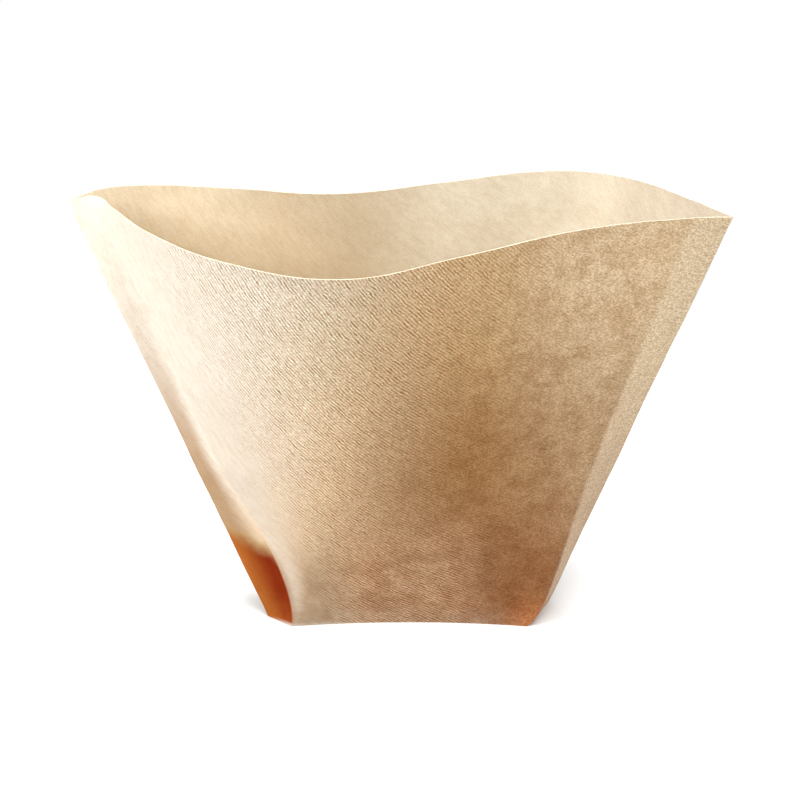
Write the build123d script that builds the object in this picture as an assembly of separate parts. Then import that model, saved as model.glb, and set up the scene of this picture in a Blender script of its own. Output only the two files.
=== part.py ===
from build123d import *
import math
import os

# A brown paper coffee filter, opened and standing on its base.
# One creped sheet is folded into a front and a back panel of the same flat size. The fold is the right edge,
# and the two crimped seams, down the left edge and along the bottom, are turned over flat against the back.
# Opened out, the bottom is a narrow hexagon. Each of its corners starts a crease that runs up the wall and
# grows blunter towards the rim. Every wall is ruled: straight lines of paper run from the base to the rim.
# Millimetres, +Z up, X along the mouth, front towards -Y. The origin is the middle of the base's underside.

# The sheet, the strips of its seams and the ribs that are pressed across them
paper = 0.2
seam_width = 7.0
seam_height = 0.5
seam_margin = 0.6
crimp_pitch = 4.5
crimp_depth = 0.24

# A panel while it lies flat: its side edge, its top edge and the rise of that edge in the middle
side_length = 115.3
top_length = 170.0
top_crown = 4.1

# The opened base: its length from corner to corner and how far that line is turned from X, the straight
# length of its front and back edges, how far apart they lie and how far each bows inwards
base_length = 70.2
base_turn = 5.7
edge_length = 57.6
base_depth = 16.4
edge_bow = 1.9

# The mouth seen from above: its width from tip to tip, how far its middle lies from the base's middle, how
# far the left tip lies behind that middle and the right tip in front of it, and how far each rim reaches
mouth_width = 149.7
mouth_shift = -3.15
left_tip_back = 3.6
right_tip_front = 10.2
front_reach = 36.0
back_reach = 21.2

# The direction in which the folded seam leaves the left tip
seam_heading = 35.0

# The rows in which a wall is laid, and the distance between the points of a line that parts two of them
wall_rows = 9
wall_step = 7.0

# The bends of each rim from left to right, as shares of the mouth's width and of that rim's reach
front_bends = [(0.041, -0.12), (0.134, 0.39), (0.254, 0.77), (0.428, 1.0),
               (0.594, 0.85), (0.768, 0.59), (0.935, 0.364)]
back_bends = [(0.104, 0.385), (0.254, 0.175), (0.408, 0.035), (0.579, 0.44),
              (0.731, 0.93), (0.808, 1.0), (0.878, 0.685), (0.942, 0.094)]

left_tip = Vector(mouth_shift - mouth_width / 2, left_tip_back)
right_tip = Vector(mouth_shift + mouth_width / 2, -right_tip_front)

# The base's six corners and the middles of its two bowed edges. The back is the front turned half round.
right_corner = Vector(base_length / 2, 0).rotate(Axis.Z, base_turn)
left_corner = -right_corner
front_left = Vector(-edge_length / 2, -base_depth / 2)
front_right = Vector(edge_length / 2, -base_depth / 2)
front_middle = Vector(0, edge_bow - base_depth / 2)
back_left, back_middle, back_right = -front_right, -front_middle, -front_left


def plan(bends, reach):
    """Place a rim's bends in the plan. A negative reach is towards the front."""
    return [Vector(left_tip.X + across * mouth_width, depth * reach) for across, depth in bends]


def shares(points):
    """The share of a path's length at which each of its points lies."""
    steps = [(b - a).length for a, b in zip(points, points[1:])]
    return [sum(steps[:i]) / sum(steps) for i in range(len(points))]


def mitre(first, second, distance):
    """How far a corner moves when the two faces that meet there move along their unit normals."""
    return (first + second) * (distance / (1 + first.dot(second)))


def base_edges(corners):
    """One panel's bottom edge: a short side, the bowed long side and the other short side."""
    left, first, middle, second, right = corners
    bow = Edge.make_three_point_arc(first, middle, second)
    return [Edge.make_line(left, first), bow, Edge.make_line(second, right)]


class Panel:
    """One side of the opened filter, from the left tip to the right tip."""

    def __init__(self, corners, bends, outward):
        self.corners = corners
        self.outward = outward
        self.base = base_edges(corners)
        rim_plan = [left_tip, *bends, right_tip]
        self.shares = shares(rim_plan)
        self.rim_points = [self.raised(point, share) for point, share in zip(rim_plan, self.shares)]
        self.rim = self.rim_edges(self.rim_points)

    def base_point(self, share):
        """The point at a share of the panel's bottom edge."""
        lengths = [edge.length for edge in self.base]
        distance = share * sum(lengths)
        for edge, length in zip(self.base, lengths):
            if distance <= length or edge is self.base[-1]:
                return edge.position_at(min(distance, length), position_mode=PositionMode.LENGTH)
            distance -= length

    def raised(self, point, share):
        """Lift a point of the plan until its line of paper is as long as it was on the flat panel."""
        bottom_length = sum(edge.length for edge in self.base)
        flat_height = math.sqrt(side_length ** 2 - ((top_length - bottom_length) / 2) ** 2)
        across = (share - 0.5) * (top_length - bottom_length)
        along = flat_height + top_crown * (1 - (2 * share - 1) ** 2)
        run = (point - self.base_point(share)).length
        return point + Vector(0, 0, math.sqrt(across ** 2 + along ** 2 - run ** 2))

    def rim_edges(self, points):
        """The rim in three stretches, cut at the tops of the two creases. The first one is straight."""
        curve = Edge.make_spline(points[1:])
        second = curve.param_at_point(points[-2])
        return [Edge.make_line(points[0], points[1]), curve.trim(0, second), curve.trim(second, 1)]

    def rim_normal(self, i):
        """The outward direction of the paper at rim point i, lengthened where two stretches meet."""
        line = self.rim_points[i] - self.base_point(self.shares[i])
        last = len(self.rim_points) - 1
        before = 0 if i < 2 else 2 if i == last else 1
        after = 0 if i == 0 else 2 if i > last - 2 else 1
        normals = []
        for stretch in (self.rim[before], self.rim[after]):
            tangent = stretch.tangent_at(stretch.param_at_point(self.rim_points[i]))
            normals.append(tangent.cross(line).normalized() * self.outward)
        return mitre(*normals, 1)

    def base_normals(self):
        """The outward directions of the three sides of the bottom edge."""
        left, first, _, second, right = self.corners
        sides = (first - left, second - first, right - second)
        return [side.cross(Vector(0, 0, 1)).normalized() * self.outward for side in sides]

    def inside(self, tips, ends):
        """The bottom and rim edges of the inside face, one paper thickness in from the outside."""
        left, front_of, right = self.base_normals()
        _, first, middle, second, _ = self.corners
        lift = Vector(0, 0, paper)
        inset = [first - mitre(left, front_of, paper) + lift, middle - front_of * paper + lift,
                 second - mitre(front_of, right, paper) + lift]
        points = [point - self.rim_normal(i) * paper for i, point in enumerate(self.rim_points)]
        return base_edges([ends[0], *inset, ends[1]]), self.rim_edges([tips[0], *points[1:-1], tips[1]])


front = Panel([left_corner, front_left, front_middle, front_right, right_corner],
              plan(front_bends, -front_reach), 1)
seam_end = left_tip + Vector(seam_width + 2 * seam_margin, 0).rotate(Axis.Z, seam_heading)
back = Panel([left_corner, back_left, back_middle, back_right, right_corner],
             [seam_end, *plan(back_bends, back_reach)], -1)

# The inside tips and corners, where the front and the back meet
inner_tips = [tip - mitre(front.rim_normal(i), back.rim_normal(j), paper) for tip, i, j in (
    (front.rim_points[0], 0, 0),
    (front.rim_points[-1], len(front.rim_points) - 1, len(back.rim_points) - 1))]
inner_ends = [corner - mitre(front.base_normals()[k], back.base_normals()[k], paper) + Vector(0, 0, paper)
              for corner, k in ((left_corner, 0), (right_corner, 2))]


def wall(low, high):
    """A wall between its bottom edge and its rim edge, in rows of ruled faces."""
    spans = max(2, round(high.length / wall_step))
    lines = [low]
    for row in range(1, wall_rows):
        along = row / wall_rows
        ends = [(low.position_at(i / spans), high.position_at(i / spans)) for i in range(spans + 1)]
        lines.append(Edge.make_spline([start + (end - start) * along for start, end in ends]))
    lines.append(high)
    return [Face.make_surface_from_curves(a, b) for a, b in zip(lines, lines[1:])]


# The bag: outside walls, inside walls and the cut edge of the rim between them, then the underside and floor
faces = []
underside = []
floor = []
for panel in (front, back):
    inner_base, inner_rim = panel.inside(inner_tips, inner_ends)
    for low, high, inner_low, inner_high in zip(panel.base, panel.rim, inner_base, inner_rim):
        faces += wall(low, high)
        faces += wall(inner_low, inner_high)
        faces.append(Face.make_surface_from_curves(high, inner_high))
    underside += panel.base
    floor += inner_base
bag = Solid(Shell([*faces, Face(Wire(underside)), Face(Wire(floor))]))


def on_wall(low, high, across, along):
    """A point of a ruled wall of the back, and the outward direction there."""
    start, end = low.position_at(across), high.position_at(across)
    low_run = low.tangent_at(across) * low.length * (1 - along)
    high_run = high.tangent_at(across) * high.length * along
    return start + (end - start) * along, (end - start).cross(low_run + high_run).normalized()


def section(near, far, rib):
    """The strip's four corners at a rib. Its top rises and falls, and its underside lies inside the wall."""
    height = seam_height + crimp_depth * (rib % 2 - 0.5)
    near_point, near_out = near
    far_point, far_out = far
    return [near_point + near_out * height, far_point + far_out * height,
            far_point - far_out * paper / 2, near_point - near_out * paper / 2]


def crimped_strip(sections):
    """A solid through a row of four-cornered sections."""
    sides = []
    for a, b in zip(sections, sections[1:]):
        for k in range(4):
            m = (k + 1) % 4
            one, other = Edge.make_line(a[k], b[k]), Edge.make_line(a[m], b[m])
            sides.append(Face.make_surface_from_curves(one, other))
    ends = [Face.make_surface_from_curves(Edge.make_line(e[0], e[1]), Edge.make_line(e[3], e[2]))
            for e in (sections[0], sections[-1])]
    return Solid(Shell(sides + ends))


def rib_places(length):
    """Where the tops and valleys of the crimp lie along a seam of this length, as shares of it."""
    count = 2 * round((length - 2 * seam_margin) / crimp_pitch)
    return [(seam_margin + (length - 2 * seam_margin) * i / count) / length for i in range(count + 1)]


# The side seam, turned over onto the narrow wall at the back of the left edge
low, high = back.base[0], back.rim[0]
side_sections = []
for rib, along in enumerate(rib_places(side_length)):
    width = (on_wall(low, high, 1, along)[0] - on_wall(low, high, 0, along)[0]).length
    near = on_wall(low, high, seam_margin / width, along)
    far = on_wall(low, high, (seam_margin + seam_width) / width, along)
    side_sections.append(section(near, far, rib))

# The bottom seam, turned up onto the middle of the back
low, high = back.base[1], back.rim[1]
bottom_sections = []
for rib, across in enumerate(rib_places(low.length)):
    length = (high.position_at(across) - low.position_at(across)).length
    near = on_wall(low, high, across, seam_margin / length)
    far = on_wall(low, high, across, (seam_margin + seam_width) / length)
    bottom_sections.append(section(near, far, rib))

filter_paper = bag + crimped_strip(side_sections) + crimped_strip(bottom_sections)
print("filter_paper", filter_paper.is_valid, round(filter_paper.volume, 1), len(filter_paper.faces()))

os.makedirs("parts", exist_ok=True)
export_step(filter_paper, "parts/filter_paper.step")
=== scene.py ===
# %% [markdown]
# A paper coffee filter, opened and standing on its base. On the real object one sheet of creped brown paper
# is folded in two, and crimped seams close its left side and its bottom. The imported CAD model is the fixed
# frame: it says where the paper is, and this script builds the paper itself around it. The box of the packed
# model is kept from the start.

# %% The imported model
import math

import bmesh
import bpy
import numpy as np
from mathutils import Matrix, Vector, noise
from mathutils.bvhtree import BVHTree


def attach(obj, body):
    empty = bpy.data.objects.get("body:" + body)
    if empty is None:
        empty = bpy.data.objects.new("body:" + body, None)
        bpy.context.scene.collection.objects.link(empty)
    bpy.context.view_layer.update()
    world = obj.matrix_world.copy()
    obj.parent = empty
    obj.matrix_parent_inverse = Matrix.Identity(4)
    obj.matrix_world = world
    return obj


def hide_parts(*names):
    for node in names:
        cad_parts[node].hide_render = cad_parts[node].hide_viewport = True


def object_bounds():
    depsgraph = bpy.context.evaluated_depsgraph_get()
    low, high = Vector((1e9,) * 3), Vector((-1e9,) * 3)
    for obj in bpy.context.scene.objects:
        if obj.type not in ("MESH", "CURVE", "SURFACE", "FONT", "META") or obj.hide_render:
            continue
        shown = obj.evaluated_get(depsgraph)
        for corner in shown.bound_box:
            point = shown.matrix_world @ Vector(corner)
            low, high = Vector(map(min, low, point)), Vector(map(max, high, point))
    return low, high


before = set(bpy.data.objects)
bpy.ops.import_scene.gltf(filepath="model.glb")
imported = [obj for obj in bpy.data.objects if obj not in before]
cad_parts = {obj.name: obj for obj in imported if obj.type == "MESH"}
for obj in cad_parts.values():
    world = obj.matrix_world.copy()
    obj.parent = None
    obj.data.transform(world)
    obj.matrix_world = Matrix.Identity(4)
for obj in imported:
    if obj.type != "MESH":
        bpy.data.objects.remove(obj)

mm = 0.001
cad_low, cad_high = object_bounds()
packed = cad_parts["filter_paper"]
print("packed box", [round(v / mm, 1) for v in cad_low], [round(v / mm, 1) for v in cad_high])

# %% [markdown]
# The camera comes first, because every later step is judged through it. It stands straight in front of the
# filter and looks down by 27 degrees, so that the back of the mouth shows above the front. A long lens keeps
# the sides from spreading. The aim is a point inside the filter, and a track quaternion turns the camera to
# it.

# %% The camera
camera_aim = Vector((-2.31, 6.47, 54.8)) * mm
camera_distance = 532.7 * mm
camera_height = math.radians(27)

camera_data = bpy.data.cameras.new("camera")
camera_data.lens = 100
camera_data.sensor_width = 36
camera = bpy.data.objects.new("camera", camera_data)
bpy.context.collection.objects.link(camera)
camera_back = Vector((0, -math.cos(camera_height), math.sin(camera_height)))
camera.location = camera_aim + camera_back * camera_distance
camera.rotation_euler = (-camera_back).to_track_quat("-Z", "Y").to_euler()
bpy.context.scene.camera = camera
print("camera at", [round(v, 3) for v in camera.location])

# %% [markdown]
# The rim is the paper's cut edge. Seen from above it swings out to the front and dents in at the back, and at
# the left and right it closes to a point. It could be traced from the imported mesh, but a Bézier curve with
# automatic handles through a few bends is what one would draw by hand, and it stays smooth where the paper
# bends. Only the plan is written down here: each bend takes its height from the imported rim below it.

# %% The line of the rim
front_bends = [(-78.0, 3.6), (-71.9, 4.3), (-67.5, -0.7), (-57.9, -14.0), (-40.0, -27.7), (-13.9, -36.0),
               (10.9, -30.6), (37.0, -21.2), (62.0, -13.1), (71.7, -10.2)]
back_bends = [(71.7, -10.2), (63.0, 2.0), (53.4, 14.5), (43.0, 21.2), (31.4, 19.7), (8.7, 9.3), (-16.9, 0.7),
              (-40.0, 3.7), (-62.4, 8.2), (-71.3, 8.3), (-78.0, 3.6)]
bend_steps = 40
packed_tree = BVHTree.FromObject(packed, bpy.context.evaluated_depsgraph_get())
above_rim = cad_high.z + 20 * mm


def settle(x, y):
    """A bend of the plan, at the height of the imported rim."""
    height = packed_tree.find_nearest(Vector((x * mm, y * mm, above_rim)))[0].z
    return Vector((x * mm, y * mm, height))


def rim_line(bends):
    """A close row of points on a Bézier curve through the bends."""
    curve = bpy.data.curves.new("rim_line", "CURVE")
    curve.dimensions = "3D"
    curve.resolution_u = bend_steps
    spline = curve.splines.new("BEZIER")
    spline.bezier_points.add(len(bends) - 1)
    for knot, bend in zip(spline.bezier_points, bends):
        knot.handle_left_type = knot.handle_right_type = "AUTO"
        knot.co = settle(*bend)
    holder = bpy.data.objects.new("rim_line", curve)
    bpy.context.collection.objects.link(holder)
    bpy.context.view_layer.update()
    chain = bpy.data.meshes.new_from_object(holder)
    line = [vertex.co.copy() for vertex in chain.vertices]
    bpy.data.objects.remove(holder)
    bpy.data.curves.remove(curve)
    bpy.data.meshes.remove(chain)
    return line


def stretch(line, first, last):
    """The part of a rim line between two of its bends."""
    return line[first * bend_steps:last * bend_steps + 1]


front_rim = rim_line(front_bends)
back_rim = rim_line(back_bends)
print("rim points", len(front_rim), len(back_rim))

# %% [markdown]
# Six walls go round the opened filter: a wide one at the front, a wide one at the back, and two narrow ones
# at each side, where the paper was folded flat. Each wall is ruled: straight lines of paper run from the base
# to the rim. So a wall needs only its piece of the base, its piece of the rim and the number of lines between
# them.

# %% The six walls
base_corners = [(-34.9, -3.5), (-28.8, -8.2), (28.8, -8.2), (34.9, 3.5), (28.8, 8.2), (-28.8, 8.2)]
base_bow = 1.9 * mm
wide_walls = (1, 4)
narrow_lines, wide_lines = 10, 116
front_last, back_last = len(front_bends) - 1, len(back_bends) - 1
walls = [("left front", narrow_lines, stretch(front_rim, 0, 1)),
         ("front", wide_lines, stretch(front_rim, 1, front_last - 1)),
         ("right front", narrow_lines, stretch(front_rim, front_last - 1, front_last)),
         ("right back", narrow_lines, stretch(back_rim, 0, 1)),
         ("back", wide_lines, stretch(back_rim, 1, back_last - 1)),
         ("left back", narrow_lines, stretch(back_rim, back_last - 1, back_last))]


def measured(line):
    """A line's points, each with the share of the line's length at which it lies."""
    points = np.array(line)
    steps = np.linalg.norm(np.diff(points, axis=0), axis=1)
    reach = np.concatenate([[0], np.cumsum(steps)])
    return reach / reach[-1], points


rims = [measured(line) for name, columns, line in walls]


def base_point(around):
    """The point of the base at a number of walls from the left edge."""
    wall = min(int(around), 5)
    share = around - wall
    start, end = Vector(base_corners[wall]), Vector(base_corners[(wall + 1) % 6])
    point = start.lerp(end, share).to_3d() * mm
    if wall in wide_walls:
        point.y += math.copysign(base_bow * 4 * share * (1 - share), -point.y)
    return point


def rim_point(around):
    """The point of the rim at a number of walls from the left edge."""
    wall = min(int(around), 5)
    shares, points = rims[wall]
    return Vector([np.interp(around - wall, shares, points[:, axis]) for axis in range(3)])


for name, columns, line in walls:
    print(name, columns, "lines, rim", round(sum((b - a).length for a, b in zip(line, line[1:])) / mm, 1), "mm")

# %% [markdown]
# Now the sheet. Its bottom outline is six vertices joined by edges, cut into short pieces by subdividing.
# Extruding that loop gives one tall quad per piece, and moving the new vertices to the rim opens the walls
# out. Subdividing the upright edges then lays the rows. Two vertex layers keep each vertex's place on the
# sheet, around and along, so that later steps can find a crease or a corner without searching for it.

# %% The sheet
rows = 110
sheet = bmesh.new()
around_layer = sheet.verts.layers.float.new("around")
along_layer = sheet.verts.layers.float.new("along")
for i, (x, y) in enumerate(base_corners):
    corner = sheet.verts.new((x * mm, y * mm, 0))
    corner[around_layer] = i
sheet.verts.ensure_lookup_table()
for i in range(6):
    sheet.edges.new((sheet.verts[i], sheet.verts[(i + 1) % 6]))
for i, (name, columns, line) in enumerate(walls):
    ends = {i, (i + 1) % 6}
    side = next(e for e in sheet.edges if {vertex[around_layer] for vertex in e.verts} == ends)
    cut = bmesh.ops.subdivide_edges(sheet, edges=[side], cuts=columns - 1)
    start, end = base_point(i), base_point((i + 1) % 6)
    for vertex in cut["geom_inner"]:
        if isinstance(vertex, bmesh.types.BMVert):
            share = (vertex.co - start).length / (end - start).length
            vertex[around_layer] = i + share
            vertex.co = base_point(i + share)

base_edges = sheet.edges[:]
base_vertices = set(sheet.verts)
bmesh.ops.extrude_edge_only(sheet, edges=base_edges)
uprights = [e for e in sheet.edges if (e.verts[0] in base_vertices) != (e.verts[1] in base_vertices)]
for edge in uprights:
    low, high = edge.verts if edge.verts[0] in base_vertices else reversed(edge.verts)
    high[around_layer] = low[around_layer]
    high[along_layer] = 1
    high.co = rim_point(low[around_layer])
bmesh.ops.subdivide_edges(sheet, edges=uprights, cuts=rows - 1, use_grid_fill=True)
bmesh.ops.contextual_create(sheet, geom=base_edges)
bmesh.ops.recalc_face_normals(sheet, faces=sheet.faces[:])
print("sheet", len(sheet.verts), "vertices,", len(sheet.faces), "faces")

# %% [markdown]
# Every crease is sharp at the base, where the bottom was folded, and softens on its way up. At the front the
# two creases also bow to the right just above the base. A sideways bump of the vertices near a crease gives
# the bow. The softening is smooth_vert, as often as the height asks for: few passes low down and many near
# the rim. The base and the rim keep still, so the size stays.

# %% The creases
left_bow, right_bow = 3.4 * mm, 1.8 * mm
crease_reach = 42 * mm
left_peak, right_peak = 0.75, 0.5
bow_on_narrow, bow_on_wide = 0.9, 0.2
soft_creases = (1, 2, 4)
soft_passes = 16
soft_low, soft_high = -0.06, 0.45
soft_gain, soft_start = 2.2, 3


def swell(value, width):
    """A smooth bump that is 1 in the middle and falls to 0 at the given width to either side."""
    share = min(1, abs(value) / width)
    return (1 - share * share) ** 2


for vertex in sheet.verts:
    around, height = vertex[around_layer], vertex.co.z
    if height < crease_reach and 0 < vertex[along_layer] < 1:
        share = height / crease_reach
        left_rise, right_rise = math.sin(math.pi * share ** left_peak), math.sin(math.pi * share ** right_peak)
        vertex.co.x += left_bow * left_rise * swell(around - 1, bow_on_narrow if around < 1 else bow_on_wide)
        vertex.co.x += right_bow * right_rise * swell(around - 2, bow_on_narrow if around > 2 else bow_on_wide)

beside = [v for v in sheet.verts if 0 < v[along_layer] < 1
          and any(soft_low < (v[around_layer] - c) * (1 if c == 2 else -1) < soft_high for c in soft_creases)]
for turn in range(soft_passes):
    soft = [v for v in beside if v[along_layer] * soft_gain * soft_passes > turn + soft_start]
    bmesh.ops.smooth_vert(sheet, verts=soft, factor=0.5, use_axis_x=True, use_axis_y=True, use_axis_z=True)
print("softened", len(beside), "vertices beside the creases")

# %% [markdown]
# Creped paper is never perfectly even: it is slightly cockled. A soft noise moves the vertices along their
# normals. It could be a Displace modifier, but here the paper also has to lie calm under the seams of the
# back, and the two places kept in the layers tell where that is.

# %% The cockles
cockle_height = 0.2 * mm
cockle_size = 16 * mm
calm_base, calm_rim, calm_seam = 0.04, 0.03, 0.09
under_seams = 0.1
sheet.normal_update()
for vertex in sheet.verts:
    around, along = vertex[around_layer], vertex[along_layer]
    loose = min(1, along / calm_base) * min(1, (1 - along) / calm_rim)
    if around > 5 or (around > 4 and along < calm_seam):
        loose *= under_seams
    place = vertex.co / cockle_size
    lift = noise.noise(place) + 0.45 * noise.noise(place * 2.3 + Vector((7, 3, 1)))
    vertex.co += vertex.normal * (cockle_height * loose * lift)
print("cockles of", round(cockle_height / mm, 2), "mm")

# %% [markdown]
# The sheet now gets a UV map that holds the two places, so that a stain can follow a crease. The underside
# lies at one place of the back and stays plain. Edges that bend by more than 40 degrees, and the rim, are
# marked sharp, and everything else is shaded smooth. A Solidify modifier gives the paper its thickness
# inwards, and sets the inside and the cut rim to finishes of their own.

# %% The piece of paper
paper_thickness = 0.2 * mm
sharp_bend = math.radians(40)
underside_place = (4.5, 0.5)
places = sheet.loops.layers.uv.new("places")
for face in sheet.faces:
    face.smooth = True
    around_values = [loop.vert[around_layer] for loop in face.loops]
    wraps = max(around_values) > 5 and min(around_values) < 1
    for loop in face.loops:
        around, along = loop.vert[around_layer], loop.vert[along_layer]
        wall_place = (6 if wraps and around < 1 else around, along)
        loop[places].uv = wall_place if len(face.verts) == 4 else underside_place
for edge in sheet.edges:
    if edge.is_boundary or edge.calc_face_angle() > sharp_bend:
        edge.smooth = False
paper_mesh = bpy.data.meshes.new("filter_sheet")
sheet.to_mesh(paper_mesh)
sheet.free()
paper = bpy.data.objects.new("filter_sheet", paper_mesh)
bpy.context.collection.objects.link(paper)
thicken = paper.modifiers.new("thickness", "SOLIDIFY")
thicken.thickness = paper_thickness
thicken.offset = -1
thicken.material_offset = 1
thicken.material_offset_rim = 2
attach(paper, "root")
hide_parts("filter_paper")
print("paper", len(paper_mesh.polygons), "faces")

# %% [markdown]
# The left edge and the bottom are closed by crimped seams: two layers pressed together between toothed wheels
# and turned over flat against the back. Each seam is a strip with two rows of fine ribs across it. It starts
# as a flat grid, and extruding the grid makes it a closed strip. Its top is laid above the wall, with ribs
# that are waves of height, and its underside lies in the middle of the paper. Solidify would copy the ribs to
# the underside, and they would then show inside the filter.

# %% The seams
seam_margin = 0.6 * mm
seam_width = 7.0 * mm
seam_height = 0.46 * mm
seam_sink = 0.1 * mm
rib_pitch = 1.5 * mm
rib_depth = 0.26 * mm
rib_steps, strip_rows = 8, 16
row_margin = 0.18
side_length, bottom_length = 114 * mm, 56.4 * mm
side_start, side_share = 0.006, 0.988
bottom_start, bottom_share = 4.01, 0.98
strip_bend = math.radians(50)
wall_step = 0.002


def wall_point(around, along):
    """The point of the ruled walls at a place of the sheet."""
    return base_point(around).lerp(rim_point(around), along)


def outward(around, along):
    """The direction out of a wall."""
    aside = wall_point(around + wall_step, along) - wall_point(around - wall_step, along)
    return aside.cross(rim_point(around) - base_point(around)).normalized()


def side_place(run, across):
    """The place of a point of the side seam, which runs up beside the left edge."""
    along = side_start + side_share * run
    width = (wall_point(6, along) - wall_point(5, along)).length
    return 6 - (seam_margin + seam_width * across) / width, along


def bottom_place(run, across):
    """The place of a point of the bottom seam, which runs along the base of the back."""
    around = bottom_start + bottom_share * run
    height = (rim_point(around) - base_point(around)).length
    return around, (seam_margin + seam_width * across) / height


def crimped_strip(name, seam_length, place):
    """A strip of two ribbed rows, laid on the wall where the place function puts it."""
    ribs = round(seam_length / rib_pitch)
    form = bmesh.new()
    bmesh.ops.create_grid(form, x_segments=ribs * rib_steps, y_segments=strip_rows, size=0.5)
    raised = bmesh.ops.extrude_face_region(form, geom=form.faces[:], use_keep_orig=True)["geom"]
    top = {part for part in raised if isinstance(part, bmesh.types.BMVert)}
    for vertex in form.verts:
        run, across = vertex.co.x + 0.5, vertex.co.y + 0.5
        row = 0 if across < 0.5 else 1
        within = across * 2 - row
        pressed = min(1, within / row_margin, (1 - within) / row_margin)
        wave = math.cos(2 * math.pi * (run * ribs + row / 2))
        around, along = place(run, across)
        height = seam_height + rib_depth / 2 * wave * pressed if vertex in top else -seam_sink
        vertex.co = wall_point(around, along) + outward(around, along) * height
    bmesh.ops.recalc_face_normals(form, faces=form.faces[:])
    for face in form.faces:
        face.smooth = True
    for edge in form.edges:
        edge.smooth = edge.calc_face_angle() < strip_bend
    mesh = bpy.data.meshes.new(name)
    form.to_mesh(mesh)
    form.free()
    strip = bpy.data.objects.new(name, mesh)
    bpy.context.collection.objects.link(strip)
    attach(strip, "root")
    print(name, ribs, "ribs")
    return strip


side_seam = crimped_strip("side_seam", side_length, side_place)
bottom_seam = crimped_strip("bottom_seam", bottom_length, bottom_place)

# %% [markdown]
# The finish is built from nodes. A few small helpers keep the node trees readable: one adds a node and feeds
# its inputs, three do arithmetic, one fades a value between two limits and one blends two colours.

# %% Helpers for finishes
def add(tree, kind, feeds=None, **settings):
    """Add a node, with settings of the node itself and values or links for its inputs."""
    made = tree.nodes.new(kind)
    for name, value in settings.items():
        setattr(made, name, value)
    for socket, value in (feeds or {}).items():
        if isinstance(value, bpy.types.NodeSocket):
            tree.links.new(value, made.inputs[socket])
        else:
            made.inputs[socket].default_value = value
    return made


def calc(tree, operation, first, second=0.0):
    """One step of arithmetic."""
    return add(tree, "ShaderNodeMath", {0: first, 1: second}, operation=operation).outputs[0]


def times(tree, first, second):
    """The product of two values."""
    return calc(tree, "MULTIPLY", first, second)


def plus(tree, first, second):
    """The sum of two values."""
    return calc(tree, "ADD", first, second)


def fade(tree, value, start, end):
    """0 before the start, 1 after the end and a smooth rise between them."""
    feeds = {"Value": value, "From Min": start, "From Max": end}
    return add(tree, "ShaderNodeMapRange", feeds, interpolation_type="SMOOTHSTEP").outputs["Result"]


def blend(tree, share, first, second, kind="MIX"):
    """Blend the second colour over the first."""
    feeds = {0: share, 6: first, 7: second}
    return add(tree, "ShaderNodeMix", feeds, data_type="RGBA", blend_type=kind, clamp_result=True).outputs[2]


print("helpers ready")

# %% [markdown]
# Creping presses fine wrinkles into the wet paper, about three to every two millimetres. On the opened filter
# they run in slow arcs, so the pattern is a wave of the distance from a far centre, pushed about by two
# noises. One half of each wave is a valley, which the finish darkens with painted shade, and the other half a
# ridge, which it lightens with a painted highlight. A third noise, stretched along the arcs, breaks the wave
# into strokes. The same group also gives the cloudy fibre density of thin brown paper, its grain, and a few
# dark fibres, which are the peaks of a noise stretched to hairs.

# %% The crepe
crepe_pitch = 0.7 * mm
slow_push, fast_push = 9.0, 6.0
stroke_along, stroke_across = 62.0, 900.0
grain_scale = (1900, 1900, 3000)
hair_scale, hair_turn = (420, 420, 1500), math.radians(52)

crepe = bpy.data.node_groups.new("crepe", "ShaderNodeTree")
crepe.interface.new_socket("Centre", in_out="INPUT", socket_type="NodeSocketVector")
for name in ("Valleys", "Ridges", "Streaks", "Cloud", "Grain", "Fibres"):
    crepe.interface.new_socket(name, in_out="OUTPUT", socket_type="NodeSocketFloat")
arc_centre = crepe.nodes.new("NodeGroupInput").outputs["Centre"]
place = add(crepe, "ShaderNodeTexCoord").outputs["Object"]


def noise_at(tree, vector, scale, detail=2.0, roughness=0.5, distortion=0.0):
    """A noise value between 0 and 1."""
    feeds = {"Vector": vector, "Scale": scale, "Detail": detail, "Roughness": roughness,
             "Distortion": distortion}
    return add(tree, "ShaderNodeTexNoise", feeds).outputs["Fac"]


away = add(crepe, "ShaderNodeVectorMath", {0: place, 1: arc_centre}, operation="SUBTRACT").outputs[0]
heading = add(crepe, "ShaderNodeVectorMath", {0: away}, operation="NORMALIZE").outputs[0]
reach = add(crepe, "ShaderNodeVectorMath", {0: away}, operation="LENGTH").outputs["Value"]
turns = times(crepe, reach, 2 * math.pi / crepe_pitch)
waver = times(crepe, noise_at(crepe, place, 140.0), slow_push)
jitter = times(crepe, noise_at(crepe, place, 700.0), fast_push)
wave = calc(crepe, "SINE", plus(crepe, turns, plus(crepe, waver, jitter)))

slow = add(crepe, "ShaderNodeVectorMath", {0: heading, "Scale": stroke_along}, operation="SCALE").outputs[0]
fast = add(crepe, "ShaderNodeCombineXYZ", {"Y": times(crepe, reach, stroke_across)}).outputs[0]
arcs = add(crepe, "ShaderNodeVectorMath", {0: slow, 1: fast}, operation="ADD").outputs[0]
strokes = fade(crepe, noise_at(crepe, arcs, 1.0, roughness=0.6), 0.34, 0.70)
strength = plus(crepe, strokes, 0.2)
valleys = times(crepe, fade(crepe, wave, 0.0, 1.0), strength)
ridges = times(crepe, fade(crepe, wave, 0.0, -1.0), strength)

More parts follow.
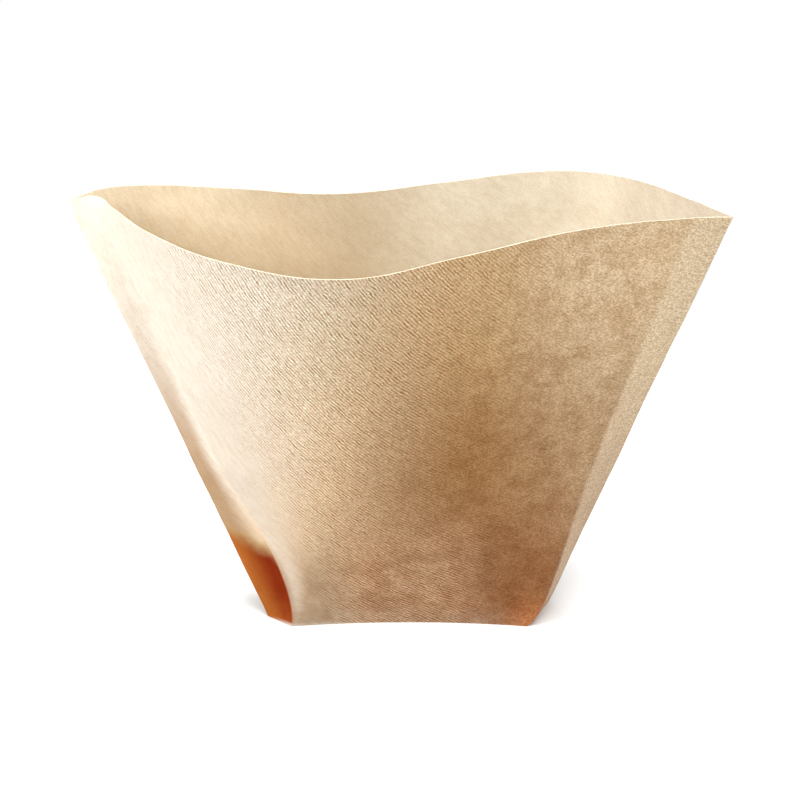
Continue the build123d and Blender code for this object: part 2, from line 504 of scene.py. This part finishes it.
flat = add(crepe, "ShaderNodeMapping", {"Vector": place, "Scale": grain_scale}).outputs[0]
grain = fade(crepe, noise_at(crepe, flat, 1.0, roughness=0.6, distortion=0.8), 0.38, 0.62)
cloud = fade(crepe, noise_at(crepe, place, 190.0, 6.0, 0.66), 0.36, 0.66)
turned = {"Vector": place, "Rotation": (0, hair_turn, 0), "Scale": hair_scale}
hairs = noise_at(crepe, add(crepe, "ShaderNodeMapping", turned).outputs[0], 1.0, detail=0.0)
fibres = fade(crepe, hairs, 0.83, 0.88)
add(crepe, "NodeGroupOutput", {"Valleys": valleys, "Ridges": ridges, "Streaks": strokes, "Cloud": cloud,
                               "Grain": grain, "Fibres": fibres})
print("crepe group", len(crepe.nodes), "nodes")

# %% [markdown]
# A paper finish is the crepe with its own colours. The wrinkles show twice: as painted shade in the valleys and
# a painted highlight on the ridges, and as a faint bump that catches the light. The grain gets painted glints.
# Each pattern multiplies the ground by a tint, so that it works on pale paper and on brown paper alike. The
# shader, its specular level and the bump stay in the material itself.

# %% Paper finish
cloud_tint, streak_tint = (0.62, 0.48, 0.34, 1), (0.72, 0.60, 0.46, 1)
# The ridge tint is a painted highlight and the valley tint is painted shade; the glint tint paints glints.
ridge_painted_highlight, valley_painted_shade = (1.38, 1.40, 1.42, 1), (0.44, 0.25, 0.08, 1)
glint_tint, speck_tint, hair_tint = (1.20, 1.20, 1.20, 1), (0.68, 0.58, 0.46, 1), (0.45, 0.28, 0.14, 1)
calm_streaks = 0.22
speck_depth = 0.9
least_roughness, cloud_roughness = 0.78, 0.12


def paper_finish(name, centre, ground_of, bump):
    """A creped paper. A function of the node tree gives its ground colour and the shares of its patterns."""
    material = bpy.data.materials.new(name)
    material.use_nodes = True
    tree = material.node_tree
    shader = tree.nodes["Principled BSDF"]
    shader.inputs["Specular IOR Level"].default_value = 0.1
    pattern = add(tree, "ShaderNodeGroup", node_tree=crepe)
    pattern.inputs["Centre"].default_value = Vector(centre) * mm
    ground, line_share, cloud_share, grain_share = ground_of(tree)
    valleys = times(tree, pattern.outputs["Valleys"], line_share)
    ridges = times(tree, pattern.outputs["Ridges"], line_share)
    clouds = times(tree, pattern.outputs["Cloud"], cloud_share)
    calm = times(tree, calc(tree, "SUBTRACT", 1.0, line_share), calm_streaks)
    streaks = times(tree, pattern.outputs["Streaks"], calm)
    specks = times(tree, pattern.outputs["Grain"], grain_share)
    glints = calc(tree, "SUBTRACT", grain_share, specks)
    hairs = times(tree, pattern.outputs["Fibres"], cloud_share)
    for share, tint in ((clouds, cloud_tint), (streaks, streak_tint), (ridges, ridge_painted_highlight), (glints, glint_tint),
                        (specks, speck_tint), (valleys, valley_painted_shade), (hairs, hair_tint)):
        ground = blend(tree, share, ground, tint, "MULTIPLY")
    tree.links.new(ground, shader.inputs["Base Color"])
    rough = plus(tree, times(tree, pattern.outputs["Cloud"], cloud_roughness), least_roughness)
    tree.links.new(rough, shader.inputs["Roughness"])
    height = calc(tree, "SUBTRACT", ridges, valleys)
    height = calc(tree, "SUBTRACT", height, times(tree, specks, speck_depth))
    feeds = {"Height": height, "Strength": 1.0, "Distance": bump * mm}
    tree.links.new(add(tree, "ShaderNodeBump", feeds).outputs["Normal"], shader.inputs["Normal"])
    return material


print("paper finish ready")

# %% [markdown]
# The outside carries painted light and shade. It is pale in painted light at the left and turns to a warm tan in
# painted shade at the right, browner in painted shade towards the base. The narrow wall at the right is paler
# again in painted light, and the back has the paper's plain colour. The ground is a chain of blends. What
# changes slowly follows Object coordinates. What ends at a crease follows the UV map, whose first value counts
# the walls and whose second rises from the base to the rim.

# %% The ground colour of the outside
# The pale colour is painted light; the tans are painted shade, darkest at the foot and in the middle; the two
# colours of the narrow wall at the right are painted light, and the tan of the left narrow wall is painted
# shade.
pale, cream = (0.83, 0.755, 0.65, 1), (0.865, 0.675, 0.465, 1)
tan_high, tan_right = (0.63, 0.385, 0.148, 1), (0.845, 0.665, 0.445, 1)
tan_middle, tan_middle_right = (0.48, 0.265, 0.112, 1), (0.575, 0.40, 0.24, 1)
tan_low_painted_shade, tan_foot, foot_left = (0.35, 0.158, 0.066, 1), (0.685, 0.44, 0.27, 1), (0.50, 0.36, 0.233, 1)
right_wall_painted_light, right_wall_painted_light_low, plain_back = (0.87, 0.715, 0.50, 1), (0.67, 0.505, 0.36, 1), (0.65, 0.483, 0.317, 1)
left_painted_shade = (0.49, 0.325, 0.193, 1)
lean, lean_start = 0.32, 3 * mm
foot_lean = 22 * mm


def outside_ground(tree, place, wall):
    """The ground colour in painted light and shade, and how far right of a leaning line a place lies."""
    axes = add(tree, "ShaderNodeSeparateXYZ", {0: place})
    aside, height = axes.outputs["X"], axes.outputs["Z"]
    # The painted light ends along a line that leans to the right as it rises.
    leaning = calc(tree, "SUBTRACT", aside, plus(tree, times(tree, height, lean), lean_start))
    leaning = plus(tree, leaning, times(tree, fade(tree, height, 32 * mm, 6 * mm), foot_lean))
    tan = blend(tree, fade(tree, aside, 0.0, 42 * mm), tan_high, tan_right)
    middle = blend(tree, fade(tree, aside, 14 * mm, 46 * mm), tan_middle, tan_middle_right)
    foot = blend(tree, fade(tree, aside, -24 * mm, -8 * mm), foot_left, tan_foot)
    foot = blend(tree, fade(tree, aside, 4 * mm, 25 * mm), foot, tan_low_painted_shade)
    tan = blend(tree, fade(tree, height, 102 * mm, 47 * mm), tan, middle)
    tan = blend(tree, fade(tree, height, 50 * mm, 10 * mm), tan, foot)
    ground = blend(tree, fade(tree, leaning, -74 * mm, -34 * mm), pale, cream)
    ground = blend(tree, fade(tree, leaning, -54 * mm, -4 * mm), ground, tan)
    # Painted shade on the narrow wall at the left, strongest towards the base.
    left_shade = times(tree, fade(tree, wall, 1.0, 0.35), fade(tree, height, 88 * mm, 36 * mm))
    ground = blend(tree, left_shade, ground, left_painted_shade)
    # Painted light on the narrow wall at the right, dimmer towards the base.
    edge = blend(tree, fade(tree, height, 85 * mm, 20 * mm), right_wall_painted_light, right_wall_painted_light_low)
    ground = blend(tree, fade(tree, wall, 1.96, 2.15), ground, edge)
    return blend(tree, fade(tree, wall, 3.0, 3.3), ground, plain_back), leaning


print("ground colour ready")

# %% [markdown]
# Beside the left crease a band of painted light makes the paper pale, widening upwards. Two corners of the base
# are darkened by painted shade with a warm orange-brown cast: the narrow wall at the left, up to a soft edge,
# and a small spot at the right. It could be painted on a picture. Here the left one is a fade along the UV map
# with an ochre fringe, the right one is two round spots, and a noise makes their borders uneven.

# %% The band of painted light and the corners of painted shade
painted_highlight = (0.745, 0.655, 0.55, 1)
corner_painted_shade, corner_painted_shade_lighter, corner_shade_fringe = (0.225, 0.022, 0.001, 1), (0.475, 0.145, 0.025, 1), (0.483, 0.30, 0.117, 1)
right_corner_painted_shade = (0.58, 0.20, 0.05, 1)
painted_band_strength, rim_strength, right_strength, sole_strength = 0.7, 0.8, 0.6, 0.7
corner_shade_waver, corner_shade_slope = 0.04, 0.05
spot_waver = 3 * mm


def with_band(tree, ground, wall, rise):
    """The ground with a band of painted light beside the left crease and a trace of it along the foot of the
    front.
    """
    # Painted light: a pale band on the front beside the left crease, widening upwards.
    front = times(tree, fade(tree, wall, 0.99, 1.01), fade(tree, wall, 2.05, 1.95))
    width = plus(tree, times(tree, rise, 0.6), 0.02)
    across = calc(tree, "DIVIDE", calc(tree, "SUBTRACT", wall, 1.0), width)
    band = times(tree, fade(tree, across, 1.5, 0.0), fade(tree, rise, 0.75, 0.4))
    foot = times(tree, fade(tree, rise, 0.07, 0.0), 0.25)
    share = times(tree, front, calc(tree, "MAXIMUM", band, foot))
    return blend(tree, times(tree, share, painted_band_strength), ground, painted_highlight)


def spot(tree, place, centre, outer, inner):
    """1 near a point and 0 far from it, with an uneven border."""
    feeds = {0: place, 1: Vector(centre) * mm}
    away = add(tree, "ShaderNodeVectorMath", feeds, operation="DISTANCE").outputs["Value"]
    away = plus(tree, away, times(tree, noise_at(tree, place, 300.0), spot_waver))
    return fade(tree, away, outer * mm, inner * mm)


def with_corner_shade(tree, ground, place, wall, rise):
    """The ground with both corners of painted shade and the painted highlight of the sole, and the share of the
    left one.
    """
    # Painted shade with a warm orange-brown cast on the narrow wall at the left, darkest beside the crease and
    # lighter towards the left edge and the base, behind an ochre fringe.
    waver = times(tree, noise_at(tree, place, 260.0, 3.0), corner_shade_waver)
    along = plus(tree, plus(tree, rise, waver), times(tree, wall, corner_shade_slope))
    beside = fade(tree, wall, 1.04, 0.94)
    fringe = times(tree, beside, fade(tree, along, 0.285, 0.24))
    ground = blend(tree, times(tree, fringe, rim_strength), ground, corner_shade_fringe)
    left = times(tree, beside, fade(tree, along, 0.265, 0.212))
    dark = times(tree, fade(tree, wall, 0.0, 0.75), fade(tree, along, -0.06, 0.15))
    ground = blend(tree, left, ground, blend(tree, dark, corner_painted_shade_lighter, corner_painted_shade))
    # Painted shade with the same cast in two round spots at the right corner.
    wide, small = spot(tree, place, (30, -6.5, 0.5), 12, 2), spot(tree, place, (33.5, 0.5, 0), 5, 1)
    right = times(tree, calc(tree, "MAXIMUM", wide, small), right_strength)
    ground = blend(tree, right, ground, right_corner_painted_shade)
    # A line of painted highlight along the sole of the left walls.
    sole = times(tree, fade(tree, rise, 0.01, 0.002), fade(tree, wall, 0.1, 0.9))
    sole = times(tree, sole, fade(tree, wall, 1.4, 1.1))
    return blend(tree, times(tree, sole, sole_strength), ground, painted_highlight), left


print("band and stains ready")

# %% [markdown]
# The wrinkles are clearest in the middle of the front. Beside the left crease they are pressed flat, in the left
# corner's painted shade they are weaker, and at the upper right the cloudy fibres take over. On the back they
# are even. These shares go to the finish together with the ground colour.

# %% The outside
outside_centre = (112, -20, 190)
least_lines, more_lines, back_share = 0.07, 0.78, 0.5
cloud_cover, corner_shade_cover = 0.75, 0.7


def outside_finish(tree):
    """The outside with its two corners of painted shade, and where its lines, clouds and grain show."""
    place = add(tree, "ShaderNodeTexCoord").outputs["Object"]
    flat_place = add(tree, "ShaderNodeUVMap", uv_map="places").outputs["UV"]
    flat_axes = add(tree, "ShaderNodeSeparateXYZ", {0: flat_place})
    wall, rise = flat_axes.outputs["X"], flat_axes.outputs["Y"]
    ground, leaning = outside_ground(tree, place, wall)
    ground = with_band(tree, ground, wall, rise)
    ground, left = with_corner_shade(tree, ground, place, wall, rise)

    rightward = fade(tree, leaning, -38 * mm, 4 * mm)
    front_lines = plus(tree, times(tree, fade(tree, wall, 1.04, 1.38), more_lines), least_lines)
    plain = calc(tree, "MAXIMUM", fade(tree, rise, 0.12, 0.4), fade(tree, wall, 1.66, 1.88))
    covered = times(tree, times(tree, rightward, plain), cloud_cover)
    front_lines = calc(tree, "SUBTRACT", front_lines, covered)
    to_back = calc(tree, "SUBTRACT", back_share, front_lines)
    line_share = plus(tree, front_lines, times(tree, to_back, fade(tree, wall, 3.0, 3.2)))
    # Fewer lines in the left corner's painted shade.
    clear_of_corner_shade = calc(tree, "SUBTRACT", 1.0, times(tree, left, corner_shade_cover))
    line_share = times(tree, line_share, clear_of_corner_shade)

    cloudy = times(tree, rightward, fade(tree, wall, 2.2, 1.95))
    cloud_share = plus(tree, 0.06, times(tree, cloudy, 0.45))
    grain_share = plus(tree, 0.12, times(tree, fade(tree, wall, 1.08, 1.4), 0.58))
    return ground, line_share, cloud_share, grain_share


paper_mesh.materials.append(paper_finish("paper_outside", outside_centre, outside_finish, 0.04))
print("outside finished")

# %% [markdown]
# The inside is the same paper without the corners of painted shade, seen in the light of the mouth. It has
# painted shade in the middle and at the right end and painted light right of the middle. Its wrinkles are faint
# and run steeper. The cut edge is a hair's breadth of torn fibres and looks paler. The seams are the outside's
# paper, pressed hard, so their wrinkles are weaker.

# %% The inside, the cut edge and the seams
# The middle colour and the end colour are painted shade, the right one painted light.
inside_left, inside_shade = (0.715, 0.62, 0.465, 1), (0.625, 0.52, 0.37, 1)
inside_right_painted_light, inside_end_painted_shade = (0.765, 0.695, 0.56, 1), (0.47, 0.41, 0.32, 1)
fibre_dark, fibre_pale = (0.60, 0.525, 0.417, 1), (0.708, 0.642, 0.533, 1)
seam_dark, seam_pale = (0.55, 0.40, 0.25, 1), (0.65, 0.492, 0.325, 1)


def inside_finish(tree):
    """The inside, with painted shade in the middle and at the right end and painted light right of the middle.
    """
    place = add(tree, "ShaderNodeTexCoord").outputs["Object"]
    aside = add(tree, "ShaderNodeSeparateXYZ", {0: place}).outputs["X"]
    ground = blend(tree, fade(tree, aside, -46 * mm, -26 * mm), inside_left, inside_shade)
    ground = blend(tree, fade(tree, aside, -16 * mm, 12 * mm), ground, inside_right_painted_light)
    ground = blend(tree, fade(tree, aside, 30 * mm, 54 * mm), ground, inside_end_painted_shade)
    return ground, 0.04, 0.1, 0.15


def edge_finish(tree):
    """The cut edge."""
    place = add(tree, "ShaderNodeTexCoord").outputs["Object"]
    return blend(tree, noise_at(tree, place, 900.0), fibre_dark, fibre_pale), 0.1, 0.2, 0.3


def seam_finish(tree):
    """The pressed seams."""
    place = add(tree, "ShaderNodeTexCoord").outputs["Object"]
    return blend(tree, noise_at(tree, place, 60.0), seam_dark, seam_pale), 0.3, 0.25, 0.4


inside_centre = (158, 10, 241)
paper_mesh.materials.append(paper_finish("paper_inside", inside_centre, inside_finish, 0.06))
paper_mesh.materials.append(paper_finish("paper_edge", inside_centre, edge_finish, 0.03))
pressed_paper = paper_finish("paper_seam", outside_centre, seam_finish, 0.05)
for strip in (side_seam, bottom_seam):
    strip.data.materials.append(pressed_paper)
print("finishes", [slot.name for slot in paper_mesh.materials])

# %% [markdown]
# A studio for product pictures is mostly white. The floor is pale and keeps the shadow near the filter.
# Farther out it fades to plain white for the camera, as the world behind it will, through the Light Path
# node. For the light that bounces off it onto the filter the floor is darker, because a bright floor would
# light the paper from below.

# %% The floor
floor_size = 3
floor_dim, floor_pale = (0.25, 0.25, 0.25, 1), (0.77, 0.77, 0.77, 1)
shadow_end, white_start = 80 * mm, 220 * mm


def seen_directly(tree):
    """1 for rays of the camera, of reflections and of clear things, 0 for the light on the filter."""
    rays = add(tree, "ShaderNodeLightPath")
    seen = calc(tree, "MAXIMUM", rays.outputs["Is Camera Ray"], rays.outputs["Is Glossy Ray"])
    return calc(tree, "MAXIMUM", seen, rays.outputs["Is Transmission Ray"])


floor_mesh = bpy.data.meshes.new("floor")
floor_form = bmesh.new()
bmesh.ops.create_grid(floor_form, x_segments=1, y_segments=1, size=floor_size)
floor_form.to_mesh(floor_mesh)
floor_form.free()
floor = bpy.data.objects.new("floor", floor_mesh)
bpy.context.collection.objects.link(floor)
floor_finish = bpy.data.materials.new("white_floor")
floor_finish.use_nodes = True
floor_tree = floor_finish.node_tree
floor_shader = floor_tree.nodes["Principled BSDF"]
floor_seen = seen_directly(floor_tree)
floor_colour = blend(floor_tree, floor_seen, floor_dim, floor_pale)
floor_tree.links.new(floor_colour, floor_shader.inputs["Base Color"])
floor_shader.inputs["Roughness"].default_value = 0.9
floor_place = add(floor_tree, "ShaderNodeTexCoord").outputs["Object"]
floor_reach = add(floor_tree, "ShaderNodeVectorMath", {0: floor_place}, operation="LENGTH").outputs["Value"]
far = times(floor_tree, fade(floor_tree, floor_reach, shadow_end, white_start), floor_seen)
glow = add(floor_tree, "ShaderNodeEmission", {"Color": (1, 1, 1, 1), "Strength": 1.0}).outputs[0]
floor_mix = add(floor_tree, "ShaderNodeMixShader", {0: far, 1: floor_shader.outputs[0], 2: glow}).outputs[0]
floor_tree.links.new(floor_mix, floor_tree.nodes["Material Output"].inputs["Surface"])
floor_mesh.materials.append(floor_finish)
print("floor of", 2 * floor_size, "m")

# %% [markdown]
# Four soft lamps light the filter. A large one at the left gives the light side and the dark side, a weaker
# one in front opens the shade, one at the right touches the right edge, and one above reaches into the mouth.
# The world adds a little light from everywhere, and the camera sees it as plain white.

# %% The lamps and the world
lamp_aim = Vector((0, 0, 60)) * mm
world_light = 0.41


def lamp(name, place, size, power):
    """A square soft lamp that looks at the filter."""
    data = bpy.data.lights.new(name, "AREA")
    data.size = size
    data.energy = power
    holder = bpy.data.objects.new(name, data)
    bpy.context.collection.objects.link(holder)
    holder.location = place
    holder.rotation_euler = (lamp_aim - Vector(place)).to_track_quat("-Z", "Y").to_euler()
    print("lamp", name, power, "W")


lamp("key", (-0.92, -0.32, 0.55), 0.5, 11.9)
lamp("front", (0.1, -0.45, 0.9), 0.5, 7.5)
lamp("right", (0.9, 0.05, 0.30), 0.4, 3.5)
lamp("top", (0.05, 0.0, 1.0), 0.5, 9.6)

world = bpy.data.worlds.new("white_world")
bpy.context.scene.world = world
world.use_nodes = True
sky = world.node_tree
sky_light = sky.nodes["Background"]
sky_light.inputs["Color"].default_value = (1, 1, 1, 1)
sky_light.inputs["Strength"].default_value = world_light
sky_white = add(sky, "ShaderNodeBackground", {"Color": (1, 1, 1, 1), "Strength": 1.0}).outputs[0]
sky_feeds = {0: seen_directly(sky), 1: sky_light.outputs[0], 2: sky_white}
sky_mix = add(sky, "ShaderNodeMixShader", sky_feeds).outputs[0]
sky.links.new(sky_mix, sky.nodes["World Output"].inputs["Surface"])
bpy.context.scene.view_settings.view_transform = "Standard"
print("world", world_light)
